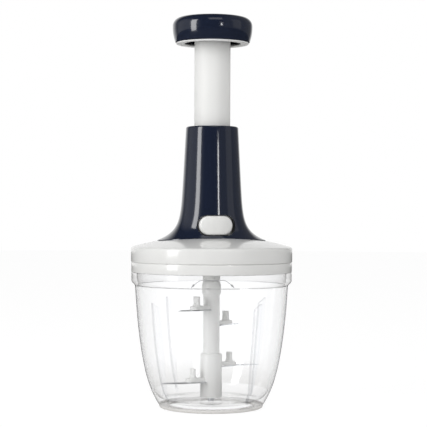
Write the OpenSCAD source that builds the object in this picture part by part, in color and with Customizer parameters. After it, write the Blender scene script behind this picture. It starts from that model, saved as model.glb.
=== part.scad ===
// Plunger food chopper. A clear bowl holds a turning shaft with four blades. A domed lid carries
// a flared housing, in which a tube with a knob is pushed down against a spring. A nut in the
// tube slides down a twisted bar and turns it, and a saw-tooth clutch passes the turn on to the
// blades on the way down only.
// Millimetres, +Z up. The origin is on the table, in the middle of the foot, and the lock button
// faces -Y.

/* [Bowl] */
// Height of the bowl's rim above the table
bowl_h = 112; // [104:1:124]
// Outer radius of the band round the rim
rim_r = 62.2; // [60:0.1:68]
// Height of the band round the rim
band_h = 13.5; // [12:0.5:18]
// How far the band stands out from the wall below it
band_step = 2.8; // [2.4:0.1:3.6]
// Outer radius of the wall at the foot
foot_r = 40.9; // [37:0.1:44]
// How far the wall bulges outwards above the foot
belly_out = 5.1; // [3:0.1:7]
// Height above the foot at which the wall turns upright
belly_h = 20.4; // [16:0.1:26]
// Thickness of the bowl's wall
bowl_wall = 2.2; // [1.8:0.1:2.6]
// Height of the floor inside the bowl
floor_h = 6.6; // [6:0.1:8]
// Thickness of the bowl's floor
floor_t = 2.6; // [2:0.1:3]
// Number of upright ribs inside the wall
rib_n = 4; // [3:1:6]
// Thickness of each rib
rib_t = 2.4; // [1.6:0.1:3.2]
// Distance from the band down to the tops of the ribs
rib_drop = 15.5; // [10:0.5:24]
// Depth of each rib at its top
rib_depth = 6.4; // [4:0.1:8]

/* [Foot] */
// Height of the soft ring that the bowl stands on
ring_h = 2.6; // [2:0.1:3.2]
// Width of that ring
ring_w = 7; // [5:0.5:9]
// Radius of the steel pin that the blades turn on
pin_r = 2.5; // [2:0.1:3]
// Height of the pin above the floor
pin_h = 15; // [12:0.5:17]

/* [Blades] */
// Radius of the upper shaft
shaft_r = 6.45; // [6:0.05:7]
// Radius of the lower hub
hub_r = 8.4; // [8:0.1:9.5]
// Height of the lower hub
hub_h = 34.4; // [32:0.2:38]
// Height of the first cutting plane above the floor
cut_1 = 13.2; // [12:0.1:14.4]
// Height of the second cutting plane
cut_2 = 24.4; // [23:0.1:27]
// Height of the third cutting plane
cut_3 = 56.2; // [54:0.1:58]
// Height of the fourth cutting plane
cut_4 = 68.9; // [67:0.1:71]
// Direction of the two lower blades, in degrees from +X
low_turn = 23; // [0:1:60]
// Direction of the two upper blades, in degrees from +X
high_turn = 39; // [0:1:60]
// Reach of the two upper blades from the axis
upper_tip = 33; // [28:0.5:38]
// Gap between the lowest blade's tip and the bowl's wall
tip_gap = 4.5; // [4:0.1:8]
// How far the tips are swept back, in degrees
sweep = 8; // [4:1:12]
// Width of a blade at its root
blade_w = 11; // [9:0.5:12]
// Thickness of a blade
blade_t = 0.8; // [0.6:0.1:1.2]
// Width of the ground bevel
bevel_w = 2; // [1.2:0.1:2.4]
// Distance from the axis to the pegs on the arms
peg_d = 16.5; // [15.5:0.1:18]
// Height of the pegs above the cutting plane
peg_h = 11; // [9:0.2:12]
// Thickness of an arm
arm_t = 2.6; // [2:0.1:3.2]
// Reach of an arm from the axis
arm_d = 22.5; // [21.5:0.5:24]

/* [Lid] */
// How far the lid stands out from the bowl's rim
lid_lip = 0.4; // [0.3:0.1:1.6]
// Height of the lid's upright wall
lid_h = 11.2; // [10:0.2:14]
// How far that wall reaches down over the bowl's rim, as a collar below a groove
collar_h = 8; // [7:0.2:9]
// Rise of the dome above that wall
dome_h = 9; // [8:0.2:12]
// Thickness of the lid
lid_wall = 2; // [1.6:0.1:2.2]
// Thickness of the soft seal under the lid
seal_t = 0.8; // [0.6:0.1:1.4]
// Height of the gap between the lid's skirt and the ledge in the bowl
skirt_gap = 4.9; // [4:0.1:5.5]
// Number of lugs that hold the lid
lug_n = 4; // [3:1:5]
// Width of a lug, in degrees
lug_a = 14; // [10:1:16]
// Turn from the open to the locked lid, in degrees
lock_turn = 16; // [16:1:20]

/* [Housing] */
// Radius of the housing at its top
column_r = 20.3; // [19.8:0.1:23]
// Radius of the column at the lid, without its flare
column_foot_r = 24.95; // [24:0.05:27]
// Half-length of the oval foot, from side to side
flare_rx = 42.3; // [38:0.1:46]
// Half-width of the oval foot, from front to back
flare_ry = 28; // [27:0.1:34]
// Height in which the flare shrinks to about a third of its width
flare_h = 6.8; // [6:0.1:9]
// Thickness of the housing's wall
case_wall = 2.2; // [1.6:0.1:2.2]
// Length of the bush that guides the tube
bush_l = 15.9; // [12:0.1:20]
// Width of the lock button
button_w = 26; // [24:0.2:28]
// Height of the lock button
button_h = 14.7; // [13:0.1:16]
// Height of the lock button's middle above the dome
button_z = 8; // [7:0.2:10]
// Travel of the lock button
button_travel = 2.1; // [1.8:0.1:2.6]

/* [Plunger] */
// Outer radius of the plunger tube
tube_r = 14; // [13.5:0.1:14.5]
// Wall of the plunger tube
tube_wall = 2; // [1.4:0.1:2]
// Stroke of the plunger
stroke = 60; // [50:1:70]
// Gap left between the knob and the housing when the plunger is down
knob_gap = 5; // [3:0.5:12]
// Largest radius of the knob
knob_r = 31; // [29:0.1:36]
// Radius of the knob at its rim
knob_rim_r = 29; // [27:0.1:29.4]
// Height of the knob
knob_h = 21.4; // [20:0.2:26]
// Wall of the knob
knob_wall = 2.4; // [1.8:0.1:3]
// Inner radius of the pale ring under the knob
knob_ring_in = 21.7; // [19:0.1:23]
// Wire radius of the return spring
wire_r = 0.6; // [0.4:0.05:0.8]
// Turns of the return spring
spring_turns = 12; // [8:1:14]

/* [Drive] */
// Rise of the twisted bar in one turn
lead = 40; // [32:1:60]
// Width of the twisted bar
bar_w = 9; // [7:0.1:9.4]
// Thickness of the twisted bar
bar_t = 3.2; // [2.4:0.1:3.6]
// Gap between the bar and the nut
nut_gap = 0.3; // [0.2:0.05:0.4]
// Radius of the journal below the bar
journal_r = 6.2; // [5.8:0.1:6.6]
// Teeth of the clutch
tooth_n = 8; // [6:1:9]
// Height of a clutch tooth
tooth_h = 2; // [1.4:0.1:2.2]
// Radius of both clutch wheels
clutch_r = 11.4; // [11:0.1:12.5]
// Radius of the drive cup's tube
cup_r = 6.8; // [6.6:0.1:7.4]
// How far the drive cup reaches below the lid's skirt
cup_drop = 5.6; // [4:0.2:7]

/* [Fits] */
// Radial clearance of a shaft in its bore
run = 0.06; // [0.03:0.01:0.1]
// Gap between parts that pass each other
gap = 0.3; // [0.25:0.05:0.4]

/* [Hidden] */
$fn = 96;

// Bowl: the wall runs along one Bezier curve from the foot to just below the band.
step_h = 4;
band_z = bowl_h - band_h;
wall_top = [rim_r - band_step, band_z - step_h];
wall_foot = [foot_r, ring_h];
wall_bend_low = [foot_r + belly_out, ring_h + 0.46 * belly_h];
wall_lean = 4.4;
wall_bend_high = [wall_top[0] - wall_lean, ring_h + belly_h];
wall_n = 16;
function bezier(a, b, c, d, t) =
    pow(1 - t, 3) * a + 3 * pow(1 - t, 2) * t * b + 3 * (1 - t) * t * t * c + pow(t, 3) * d;
wall_line = [for (i = [0:wall_n])
    bezier(wall_foot, wall_bend_low, wall_bend_high, wall_top, i / wall_n)];
function wall_in(z) = lookup(z, [for (p = wall_line) [p[1], p[0]]]) - bowl_wall;
function arc(c, r, a0, a1, n) =
    [for (i = [0:n]) let (a = a0 + (a1 - a0) * i / n) c + r * [cos(a), sin(a)]];
rim_top_r = rim_r + lid_lip - lid_wall - gap;
rim_step_z = bowl_h + seal_t - collar_h - gap;
rim_in = rim_top_r - bowl_wall;
ledge_z = band_z + bowl_wall;
corner_r = 9;
corner_a = 24;
boss_r = 8.5;
boss_top = floor_h + 0.6;
rib_top = band_z - rib_drop;
rib_top_slope = 4.5;
rib_foot_h = 6.4;
rib_turn = -58;
pin_sink = 2.8;

// Blades: the lowest blade sets how far both lower ones reach.
blade_z = [for (h = [cut_1, cut_2, cut_3, cut_4]) floor_h + h];
blade_az = [low_turn + 180, low_turn, high_turn, high_turn + 180];
lower_tip = wall_in(blade_z[0]) - tip_gap;
tip_r = [lower_tip, lower_tip, upper_tip, upper_tip];
rib_in_low = lower_tip + 0.8;
hub_z = boss_top + 0.2;
hub_top = hub_z + hub_h;
socket_h = 15.8;
arm_w = 7;
peg_w = 6;
peg_t = 3.2;
stake_r = 1.1;
stake_d = [12.6, 19.4];

// Lid: the cover and the base clamp nothing but stand on the seal.
lid_r = rim_r + lid_lip;
lid_z = bowl_h + seal_t;
collar_z = lid_z - collar_h;
collar_r = lid_r - 0.3;
groove_r = lid_r - 0.9;
groove_h = 0.4;
dome_foot = lid_z + lid_h;
dome_top = dome_foot + dome_h;
dome_R = (lid_r * lid_r + dome_h * dome_h) / (2 * dome_h);
function dome(r) = dome_top - dome_R + sqrt(dome_R * dome_R - r * r);
cover_in = lid_r - lid_wall;
skirt_r = rim_in - 2.2;
skirt_wall = 1.8;
skirt_z = ledge_z + skirt_gap - 1.4;
plate_t = 2;
plate_top = lid_z + plate_t;
tab_t = 2.4;
tab_z = skirt_z + 3.2;
lug_h = 2.5;
screw_in = 8;
screw_d = skirt_r - skirt_wall - screw_in;
screw_r = 1.3;
base_screw_l = 9;
head_r = 2.8;
head_h = 1.7;

// Drive: every height follows from the lid's base plate and from the dome above it.
washer_t = 0.6;
flange_t = 2;
cup_z = skirt_z - cup_drop;
cup_flange = plate_top + washer_t;
cup_top = cup_flange + flange_t;
teeth_gap = 0.3;
wheel_z = cup_top + 2 * tooth_h + teeth_gap;
wheel_top = wheel_z + flange_t + 0.3;
bush_z = wheel_top + 0.4;
bush_r = journal_r + 2.2;
bush_flange_t = 1.2;
bush_flange_r = bush_r + 2.4;
bush_top = dome_top + 0.8;
journal_top = bush_top + 0.8;
cup_in = cup_r - 1.2;
dog_n = 4;
dog_t = 1.6;
head_core = 3.2;
head_play = 0.3;
cup_roof = cup_flange - 3;
shaft_head_top = cup_roof - 1.6;
shaft_neck = cup_z - 0.8;
shaft_collar_h = 9;
shaft_collar_r = 7.4;

// Plunger: the housing is as tall as the stroke and the bush need.
press_gap = 3;
stop_gap = 0.4;
nut_flange_t = 3;
nut_plug_h = 7;
lip_t = 2.2;
nut_z = dome_top + press_gap + stroke;
stop_z = nut_z + nut_flange_t + stop_gap;
lip_z = stop_z + bush_l;
case_top = lip_z + lip_t;
nut_r = tube_r + 2.8;
nut_top = nut_z + nut_flange_t + nut_plug_h;
knob_z = case_top + stroke + knob_gap;
knob_top = knob_z + knob_h;
tube_top = knob_z + 14.4;
tube_in = tube_r - tube_wall;
twist_z = journal_top;
bar_top = nut_top + 2;
tang = 2.6;
spring_r = tube_in - wire_r - 1.2;
spring_z = bar_top + tang + 1.6;
function bar_angle(z) = 360 * (z - twist_z) / lead;

// Housing: an elliptical shell whose foot stands on the dome.
case_n = 64;
level_n = 22;
lip_r = 1.4;
foot_edge = 0.5;
foot_w = case_wall + 1.8;
key_t = 3.2;
key_d = tube_r + 1.4;
key_w = 20;
key_low = 2;
post_x = flare_rx - 14.3;
post_y = 8;
post_r = 3;
post_sink = 14;
post_rise = 12;
pad_z = dome(post_x + 8) - lid_wall;
post_screw_z = dome_top + 0.6;
button_mid = dome_top + button_z;
slot_side = 1.5;
slot_w = button_w + button_travel + slot_side + 0.2;
slot_h = button_h + 1.2;
slot_x = (button_travel + 0.2 - slot_side) / 2;
button_face_r = column_foot_r + 1.6;
button_back_r = nut_r + button_travel / 2 + gap;
button_plate_t = 2;
button_plate_w = 35;
button_plate_rise = 4;
tongue_seat = 1;
tongue_lap = 1.5;
tongue_w = 4.4;
tongue_t = 2;
tongue_z = nut_z - stroke + nut_flange_t + stop_gap;

// ---------------------------------------------------------------- shared shapes

module ring(r_out, r_in, z0, z1) {
    translate([0, 0, z0]) difference() {
        cylinder(h = z1 - z0, r = r_out);
        translate([0, 0, -1]) cylinder(h = z1 - z0 + 2, r = r_in);
    }
}

module disc(r, z0, z1) {
    translate([0, 0, z0]) cylinder(h = z1 - z0, r = r);
}

// A slot-shaped outline with round ends, w long and h high.
module pill(w, h) {
    square([w - h, h], center = true);
    for (s = [-1, 1]) translate([s * (w - h) / 2, 0]) circle(d = h);
}

// A pan-head screw with its head's underside at z, pointing up.
module screw(r, length) {
    cylinder(h = length, r = r);
    translate([0, 0, -head_h]) difference() {
        cylinder(h = head_h, r1 = head_r - 0.6, r2 = head_r);
        for (a = [0, 90]) rotate(a) cube([2.6, 0.7, 1.6], center = true);
    }
}

// A sector of a ring, a degrees wide and centred on +X.
module ring_sector(r_out, r_in, a, z0, z1) {
    reach = 2 * r_out;
    intersection() {
        ring(r_out, r_in, z0, z1);
        translate([0, 0, z0 - 1]) linear_extrude(z1 - z0 + 2)
            polygon([[0, 0], reach * [cos(a / 2), -sin(a / 2)], reach * [cos(a / 2), sin(a / 2)]]);
    }
}

// ---------------------------------------------------------------- bowl

// The body of the bowl is one revolve: wall, rim band, ledge, floor and the groove of the foot.
module bowl_profile() {
    inner_low = floor_h + corner_r * (1 - sin(corner_a));
    corner_x = wall_in(inner_low) - corner_r * cos(corner_a);
    polygon(concat(
        wall_line,
        arc([rim_r - band_step, band_z], band_step, -60, 0, 4),
        [[rim_r, rim_step_z - 0.4], [rim_r - 0.4, rim_step_z], [rim_top_r, rim_step_z],
         [rim_top_r, bowl_h - 0.6], [rim_top_r - 0.6, bowl_h], [rim_in + 0.4, bowl_h],
         [rim_in, bowl_h - 0.4], [rim_in, ledge_z], [wall_top[0] - bowl_wall, wall_top[1] + 1]],
        [for (i = [wall_n - 1:-1:1]) if (wall_line[i][1] > inner_low)
            wall_line[i] - [bowl_wall, 0]],
        arc([corner_x, floor_h + corner_r], corner_r, -corner_a, -90, 6),
        [[pin_r + 4, floor_h], [pin_r + 3.5, boss_top], [0, boss_top], [0, ring_h - 0.4],
         [boss_r, ring_h - 0.4], [boss_r + 1, floor_h - floor_t],
         [foot_r - ring_w - 2.2, floor_h - floor_t], [foot_r - ring_w - 1, ring_h]]));
}

module bowl_rib() {
    z_foot = floor_h + rib_foot_h;
    rotate([90, 0, 0]) translate([0, 0, -rib_t / 2]) linear_extrude(rib_t) polygon([
        [wall_in(rib_top) + bowl_wall / 2, rib_top],
        [wall_in(rib_top - rib_top_slope) - rib_depth, rib_top - rib_top_slope],
        [rib_in_low, z_foot],
        [rib_in_low - 1, floor_h - 0.5],
        for (z = [floor_h - 0.5:6:rib_top]) [wall_in(max(z, ring_h)) + bowl_wall / 2, z]]);
}

module bowl() {
    color([0.86, 0.9, 0.93, 0.35]) {
        difference() {
            union() {
                rotate_extrude() bowl_profile();
                for (i = [0:rib_n - 1]) rotate(rib_turn + 360 * i / rib_n) bowl_rib();
                for (i = [0:lug_n - 1]) rotate(lock_turn + 360 * i / lug_n) {
                    ring_sector(rim_in + 0.4, skirt_r + 0.4, lug_a, tab_z, tab_z + tab_t);
                    rotate(lug_a / 2 + 1) ring_sector(rim_in + 0.4, skirt_r + 0.4, 1.6,
                        skirt_z + 0.6, tab_z + tab_t);
                }
            }
            disc(pin_r, boss_top - pin_sink, boss_top + 1);
            ring(foot_r - 2.4, foot_r - 4.6, ring_h - 1, ring_h + 1.2);
        }
    }
}

// The ring's upstand seats in the groove under the bowl.
module foot_ring() {
    color([0.72, 0.7, 0.67]) {
        rotate_extrude() polygon(concat(
            [[foot_r - ring_w - 0.8, ring_h], [foot_r - ring_w - 0.8, 0.6],
             [foot_r - ring_w - 0.2, 0]],
            arc([foot_r - 1.9, 1.3], 1.3, -90, 0, 4),
            [[foot_r - 0.4, ring_h]]));
        ring(foot_r - 2.4, foot_r - 4.6, ring_h, ring_h + 1.2);
    }
}

module pivot_pin() {
    color([0.75, 0.76, 0.78]) {
        disc(pin_r, boss_top - pin_sink, floor_h + pin_h - 1);
        translate([0, 0, floor_h + pin_h - 1]) cylinder(h = 1, r1 = pin_r, r2 = pin_r - 0.8);
    }
}

// ---------------------------------------------------------------- blades

// Centre of the circle of radius r through p and q, on the right of the way from p to q.
function arc_centre(p, q, r) =
    let (m = (p + q) / 2, v = q - p, d = norm(v)) m + sqrt(r * r - d * d / 4) * [v[1], -v[0]] / d;

// A sickle blade along +X: the leading edge is convex and ground, the back is hollow.
module blade(i) {
    root = hub_r - 1.4 + (i > 1 ? shaft_r - hub_r : 0);
    tip = tip_r[i] * [cos(sweep), -sin(sweep)];
    edge_r = 0.95 * tip_r[i];
    back_r = 1.5 * tip_r[i];
    edge_c = arc_centre([root, blade_w / 2], tip, edge_r);
    back_c = arc_centre([root, -blade_w / 2], tip, back_r);
    translate([0, 0, blade_z[i]]) rotate(blade_az[i]) difference() {
        intersection() {
            translate([root, -2 * blade_w, 0]) cube([tip_r[i], 4 * blade_w, blade_t]);
            translate([edge_c[0], edge_c[1], 0])
                cylinder(h = blade_t, r1 = edge_r, r2 = edge_r - bevel_w);
        }
        translate([back_c[0], back_c[1], -1]) cylinder(h = blade_t + 2, r = back_r, $fn = 180);
        for (x = stake_d) translate([x, 0, -1]) cylinder(h = blade_t + 2, r = stake_r);
    }
}

// The moulded arm over a blade, with its upright peg and two stakes through the blade.
module blade_arm(i, from_r) {
    top = blade_t + arm_t;
    translate([0, 0, blade_z[i]]) rotate(blade_az[i]) {
        translate([0, 0, blade_t]) linear_extrude(arm_t) {
            translate([from_r - 3, -arm_w / 2]) square([arm_d - from_r + 3 - arm_w / 2, arm_w]);
            translate([arm_d - arm_w / 2, 0]) circle(d = arm_w);
        }
        translate([peg_d, 0, top]) cylinder(h = 2.4, r1 = 3.4, r2 = peg_t / 2 + 0.4);
        translate([peg_d, 0, top]) linear_extrude(peg_h - top) rotate(90) pill(peg_w, peg_t);
        for (x = stake_d) translate([x, 0, -0.5]) cylinder(h = blade_t + 0.5, r = stake_r);
    }
}

// The shaft's head has four wings, which the ribs in the drive cup push round.
module blade_shaft() {
    color([0.93, 0.93, 0.91]) {
        difference() {
            union() {
                disc(shaft_r, hub_top - socket_h, shaft_neck - shaft_collar_h);
                rotate_extrude() polygon([[0, shaft_neck - shaft_collar_h - 2],
                    [shaft_r, shaft_neck - shaft_collar_h - 2],
                    [shaft_collar_r, shaft_neck - shaft_collar_h],
                    [shaft_collar_r, shaft_neck - 3], [shaft_r, shaft_neck], [0, shaft_neck]]);
                disc(head_core, shaft_neck, shaft_head_top);
                for (k = [0:dog_n - 1]) rotate(360 * k / dog_n)
                    translate([0, -dog_t / 2, shaft_neck])
                        cube([cup_in - head_play, dog_t, shaft_head_top - shaft_neck - 1]);
                for (i = [2, 3]) blade_arm(i, shaft_r);
            }
            for (i = [2, 3]) blade(i);
        }
    }
}

module lower_hub() {
    color([0.93, 0.93, 0.91]) {
        difference() {
            union() {
                disc(hub_r, hub_z, hub_top - 0.8);
                translate([0, 0, hub_top - 0.8])
                    cylinder(h = 0.8, r1 = hub_r, r2 = hub_r - 0.8);
                for (i = [0, 1]) blade_arm(i, hub_r);
            }
            disc(shaft_r, hub_top - socket_h, hub_top + 1);
            disc(pin_r + 2, hub_z - 1, floor_h + pin_h + 1.4);
            for (i = [0, 1]) blade(i);
        }
    }
}

module hub_bush() {
    color([0.55, 0.56, 0.58]) ring(pin_r + 2, pin_r + run, hub_z, floor_h + pin_h - 1);
}

// ---------------------------------------------------------------- lid

module lid_seal() {
    color([0.82, 0.82, 0.8]) {
        ring(rim_top_r - 0.3, skirt_r + gap, bowl_h, lid_z);
        ring(rim_in - gap, skirt_r + gap, bowl_h - 1.4, bowl_h);
    }
}

module cover_profile() {
    n = 24;
    edge = 2.2;
    polygon(concat(
        [[cover_in, collar_z], [collar_r - 0.4, collar_z], [collar_r, collar_z + 0.4],
         [collar_r, lid_z - groove_h], [groove_r, lid_z - groove_h], [groove_r, lid_z],
         [lid_r - 0.4, lid_z], [lid_r, lid_z + 0.4]],
        arc([lid_r - edge, dome(lid_r - edge) - edge - 0.05], edge, 0, 75, 5),
        [for (i = [1:n]) let (r = (lid_r - edge) * (1 - i / n)) [r, dome(r)]],
        [for (i = [0:n]) let (r = (cover_in - 1.2) * i / n) [r, dome(r) - lid_wall]],
        [[cover_in, dome(cover_in) - lid_wall - 1.4]]));
}

module lid_cover() {
    color([0.94, 0.94, 0.92]) {
        difference() {
            union() {
                rotate_extrude() cover_profile();
                intersection() {
                    union() {
                        disc(bush_flange_r, bush_z + bush_flange_t, dome_top);
                        for (a = [45:90:315]) rotate(a) translate([screw_d, 0, 0])
                            disc(3.2, plate_top, dome_top);
                        for (x = [-1, 1], y = [-1, 1]) translate([x * post_x, y * post_y, 0])
                            disc(4.2, pad_z, dome_top);
                    }
                    translate([0, 0, dome_top - dome_R - 0.5]) sphere(r = dome_R, $fn = 200);
                }
            }
            disc(bush_r, plate_top, dome_top + 1);
            for (a = [45:90:315]) rotate(a) translate([screw_d, 0, 0])
                disc(screw_r, plate_top - 1, plate_top + 8);
            for (x = [-1, 1], y = [-1, 1]) translate([x * post_x, y * post_y, 0])
                disc(screw_r + 0.2, plate_top, dome_top + 1);
        }
    }
}

// The base closes the lid from below. Its lugs go under the bowl's tabs when the lid is turned.
module lid_base() {
    hub_out = cup_r + 3.4;
    color([0.94, 0.94, 0.92]) {
        difference() {
            union() {
                ring(cover_in - 0.05, cup_r + run, lid_z, plate_top);
                ring(skirt_r, skirt_r - skirt_wall, skirt_z, plate_top);
                ring(hub_out, cup_r + run, skirt_z + 0.4, plate_top);
                for (k = [0:7]) rotate(45 * k + 22.5) translate([hub_out - 0.5, -0.8, lid_z - 4])
                    cube([skirt_r - hub_out - 0.5, 1.6, 5]);
                for (i = [0:lug_n - 1]) rotate(360 * i / lug_n)
                    ring_sector(rim_in - 0.4, skirt_r - 0.5, lug_a, skirt_z + 0.2,
                        skirt_z + 0.2 + lug_h);
            }
            disc(cup_r + 2.2, skirt_z - 1, skirt_z + 2.2);
            for (a = [45:90:315]) rotate(a) translate([screw_d, 0, 0])
                disc(screw_r + 0.2, skirt_z, plate_top + 1);
        }
    }
}

module base_screws() {
    color([0.7, 0.71, 0.73]) for (a = [45:90:315]) rotate(a)
        translate([screw_d, 0, lid_z]) screw(screw_r, base_screw_l);
}

module shaft_seal() {
    color([0.82, 0.82, 0.8]) ring(cup_r + 2.2, cup_r + run, skirt_z + 0.5, skirt_z + 2.2);
}

module thrust_washer() {
    color([0.8, 0.8, 0.82]) ring(clutch_r - 0.6, cup_r + gap, plate_top, plate_top + washer_t);
}

module spindle_bush() {
    color([0.85, 0.78, 0.6]) {
        ring(bush_r, journal_r + run, bush_z, bush_top);
        ring(bush_flange_r, journal_r + run, bush_z, bush_z + bush_flange_t);
    }
}

// ---------------------------------------------------------------- housing

function flare(h) = exp(-max(h - foot_edge, 0) / flare_h);
function column(h, total) = column_r + (column_foot_r - column_r) * (1 - h / total);

// One point of the shell: a is its direction, h its height above the foot, inset its depth. The
// hollow's flare starts lower by half the wall, so that the wall keeps its thickness there.
function case_point(a, h, inset) =
    let (
        foot = [flare_rx * cos(a), flare_ry * sin(a)],
        foot_z = dome(norm(foot)) + 0.03,
        total = case_top - foot_z,
        c = column(h, total) - inset,
        spread = flare(h + inset / 2),
        rx = c + (flare_rx - column_foot_r) * spread,
        ry = c + (flare_ry - column_foot_r) * spread
    )
    [rx * cos(a), ry * sin(a), foot_z + h];

// Heights of the levels from the foot up to a height z, closer together in the flare.
function case_level(a, z, k) =
    (z - dome(norm([flare_rx * cos(a), flare_ry * sin(a)])) - 0.03) * pow(k / level_n, 2);

// A point on the dome, inset from the outline of the housing's foot.
function foot_point(a, inset) =
    let (p = [(flare_rx - inset) * cos(a), (flare_ry - inset) * sin(a)])
    [p[0], p[1], dome(norm(p)) + 0.03];

// A solid loft of the housing's outside, or of its hollow, up to the height z. The outside
// starts under its own wall on the dome, and the hollow starts below it. lip rounds the top edge.
module case_loft(z, inset, sink, lip = 0) {
    rings = [for (k = [0:level_n]) [for (j = [0:case_n - 1]) let (a = 360 * j / case_n)
        case_point(a, case_level(a, z - lip, k), inset)]];
    edge = [for (b = lip > 0 ? [30, 60, 90] : []) [for (j = [0:case_n - 1])
        let (a = 360 * j / case_n, rise = lip * sin(b))
        case_point(a, case_level(a, z - lip + rise, level_n), inset + lip * (1 - cos(b)))]];
    skirt = [for (p = rings[0]) p - [0, 0, sink]];
    under = [for (j = [0:case_n - 1]) foot_point(360 * j / case_n, foot_w)];
    loops = concat([sink > 0 ? skirt : under], rings, edge);
    last = len(loops) - 1;
    polyhedron(
        points = concat([for (loop = loops) each loop],
            [[0, 0, loops[0][0][2]], [0, 0, loops[last][0][2]]]),
        faces = concat(
            [for (k = [0:last - 1], j = [0:case_n - 1]) let (n = (j + 1) % case_n)
                [k * case_n + j, (k + 1) * case_n + j, (k + 1) * case_n + n]],
            [for (k = [0:last - 1], j = [0:case_n - 1]) let (n = (j + 1) % case_n)
                [k * case_n + j, (k + 1) * case_n + n, k * case_n + n]],
            [for (j = [0:case_n - 1]) [(last + 1) * case_n, j, (j + 1) % case_n]],
            [for (j = [0:case_n - 1])
                [(last + 1) * case_n + 1, last * case_n + (j + 1) % case_n, last * case_n + j]]));
}

module housing() {
    color([0.07, 0.09, 0.16]) {
        difference() {
            case_loft(case_top, 0, 0, lip_r);
            difference() {
                case_loft(lip_z, case_wall, 8);
                case_keys();
                case_posts();
            }
            disc(tube_r + gap, lip_z - 1, case_top + 1);
            for (x = [-1, 1], y = [-1, 1]) translate([x * post_x, y * post_y, 0])
                disc(screw_r + 0.1, dome_top - post_sink, post_screw_z + 0.4);
            translate([slot_x, 0, button_mid]) rotate([90, 0, 0])
                linear_extrude(flare_ry * 2) pill(slot_w, slot_h);
        }
    }
}

// Two upright rails stop the tube from turning.
module case_keys() {
    low = dome_top + press_gap - key_low;
    for (s = [-1, 1]) translate([s * (key_d + key_w / 2), 0, (low + stop_z) / 2])
        cube([key_w, key_t, stop_z - low - 0.8], center = true);
}

// Four posts take the screws from the lid, and stand on the dome.
module case_posts() {
    difference() {
        for (x = [-1, 1], y = [-1, 1]) translate([x * post_x, y * post_y, 0])
            disc(post_r, dome_top - post_sink, dome_top + post_rise);
        translate([0, 0, dome_top - dome_R]) sphere(r = dome_R + 0.03, $fn = 200);
    }
}

module housing_screws() {
    color([0.7, 0.71, 0.73]) for (x = [-1, 1], y = [-1, 1])
        translate([x * post_x, y * post_y, pad_z]) screw(screw_r, post_screw_z - pad_z);
}

module guide_bush() {
    color([0.9, 0.9, 0.88]) ring(column_r - case_wall - 0.1, tube_r + run, stop_z, lip_z);
}

// The slider's hollow back, or its face, is a cylinder centred on the middle of its travel.
module slider_round(r) {
    translate([-button_travel / 2, 0, 0])
        disc(r, button_mid - button_h, button_mid + button_h);
}

// The button's face follows the column. A wider plate behind the slot keeps it in the housing.
module lock_slider() {
    reach = 2 * button_face_r;
    color([0.93, 0.93, 0.91]) difference() {
        union() {
            intersection() {
                translate([0, 0, button_mid]) rotate([90, 0, 0])
                    linear_extrude(reach) pill(button_w, button_h);
                disc(button_face_r, button_mid - button_h, button_mid + button_h);
            }
            intersection() {
                translate([-(button_plate_w + button_travel) / 2, -reach, button_mid - button_h / 2])
                    cube([button_plate_w, reach, button_h + button_plate_rise]);
                slider_round(button_back_r + button_plate_t);
            }
        }
        slider_round(button_back_r);
        lock_tongue();
    }
}

// The tongue reaches in over the nut's flange and holds the plunger down.
module lock_tongue() {
    color([0.8, 0.81, 0.83]) translate([-tongue_w / 2, -button_back_r - tongue_seat, tongue_z])
        cube([tongue_w, button_back_r + tongue_seat - nut_r + tongue_lap, tongue_t]);
}

// ---------------------------------------------------------------- plunger

module plunger_tube() {
    color([0.95, 0.95, 0.94]) {
        difference() {
            disc(tube_r, nut_z + nut_flange_t, tube_top);
            disc(tube_in, nut_z, tube_top - 2.4);
            disc(2.1, tube_top - 4, tube_top + 1);
            translate([0, 0, nut_z + nut_flange_t + 3]) rotate([0, 90, 0])
                cylinder(h = 4 * tube_r, r = 1, center = true);
        }
    }
}

// The nut's slot is twisted like the bar. Notches in its flange run on the housing's rails and
// past the lock's tongue.
module drive_nut() {
    color([0.25, 0.26, 0.28]) {
        difference() {
            union() {
                disc(nut_r, nut_z, nut_z + nut_flange_t);
                disc(tube_in, nut_z + nut_flange_t, nut_top);
            }
            translate([0, 0, nut_z]) rotate(bar_angle(nut_z))
                linear_extrude(nut_top - nut_z, twist = -bar_angle(twist_z + nut_top - nut_z),
                    slices = 16, $fn = 4)
                    square([bar_w + 2 * nut_gap, bar_t + 2 * nut_gap], center = true);
            for (s = [-1, 1]) translate([s * (tube_r + 1 + 5), 0, nut_z + 1])
                cube([10, key_t + 0.6, 10], center = true);
            translate([0, -(tube_r + 1 + 5), nut_z + 1])
                cube([tongue_w + 0.8, 10, 10], center = true);
            translate([0, 0, nut_z + nut_flange_t + 3]) rotate([0, 90, 0])
                cylinder(h = 4 * tube_r, r = 1, center = true);
        }
    }
}

module nut_pins() {
    length = tube_r - bar_w / 2 - 1.8;
    color([0.75, 0.76, 0.78]) for (s = [0, 180]) rotate(s)
        translate([tube_r - 0.4 - length, 0, nut_z + nut_flange_t + 3]) rotate([0, 90, 0])
            cylinder(h = length, r = 1);
}

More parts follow.
